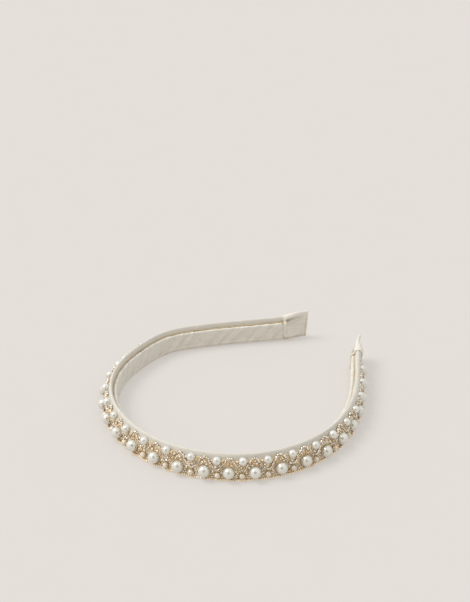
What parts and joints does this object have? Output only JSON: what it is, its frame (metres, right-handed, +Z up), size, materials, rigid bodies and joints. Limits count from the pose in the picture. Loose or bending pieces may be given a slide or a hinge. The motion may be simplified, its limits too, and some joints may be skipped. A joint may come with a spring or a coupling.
{
  "type": "headband",
  "caption": "Slim padded satin headband with a spring core, wrapped inner band, folded end caps and a beaded trim of pearls, glass beads and seed beads on the outer face.",
  "frame": {"origin": "centre of the bounding box's base, on the surface the band lies on", "axes": "+Z up off the band's lower edge, +Y from the crown towards the two tips, +X towards the right arm"},
  "size_m": [0.1376, 0.146, 0.0144],
  "materials": {
    "satin": "ivory duchess satin, soft sheen",
    "wrap": "ivory satin ribbon wound round the core, diagonal creases",
    "foam": "soft foam strip",
    "spring": "rolled spring steel",
    "tape": "champagne net tape",
    "pearl": "lustrous imitation pearl",
    "bugle": "silver-lined champagne glass",
    "crystal": "champagne glass",
    "seed": "gold-lustre glass",
    "thread": "brown waxed thread"
  },
  "bodies": {
    "left_half": {"core_left": "spring", "wrap_left": "wrap", "padding_left": "foam", "cover_left": "satin", "cap_left": "satin", "cap_stitch_left": "thread", "seam_thread_left": "thread", "tape_left": "tape", "pearl_left_01": "pearl", "pearl_left_02": "pearl", "pearl_left_03": "pearl", "pearl_left_04": "pearl", "pearl_left_05": "pearl", "pearl_left_06": "pearl", "pearl_left_07": "pearl", "pearl_left_08": "pearl", "pearl_left_09": "pearl", "pearl_left_10": "pearl", "pearl_left_11": "pearl", "pearl_left_12": "pearl", "pearl_left_13": "pearl", "pearl_left_14": "pearl", "small_pearls_left": "pearl", "wave_left": "bugle", "crystals_left": "crystal", "seed_edge_left": "seed"},
    "right_half": {"core_right": "spring", "wrap_right": "wrap", "padding_right": "foam", "cover_right": "satin", "cap_right": "satin", "cap_stitch_right": "thread", "seam_thread_right": "thread", "tape_right": "tape", "pearl_right_01": "pearl", "pearl_right_02": "pearl", "pearl_right_03": "pearl", "pearl_right_04": "pearl", "pearl_right_05": "pearl", "pearl_right_06": "pearl", "pearl_right_07": "pearl", "pearl_right_08": "pearl", "pearl_right_09": "pearl", "pearl_right_10": "pearl", "pearl_right_11": "pearl", "pearl_right_12": "pearl", "pearl_right_13": "pearl", "pearl_right_14": "pearl", "small_pearls_right": "pearl", "wave_right": "bugle", "crystals_right": "crystal", "seed_edge_right": "seed"}
  },
  "joints": [
    {"name": "crown_flex", "type": "hinge", "parent": "left_half", "child": "right_half", "pos_m": [0, -0.06523, 0.0062], "axis": [0, 0, -1], "range_deg": [-6, 24], "stiffness_Nm_per_rad": 0.5}
  ]
}
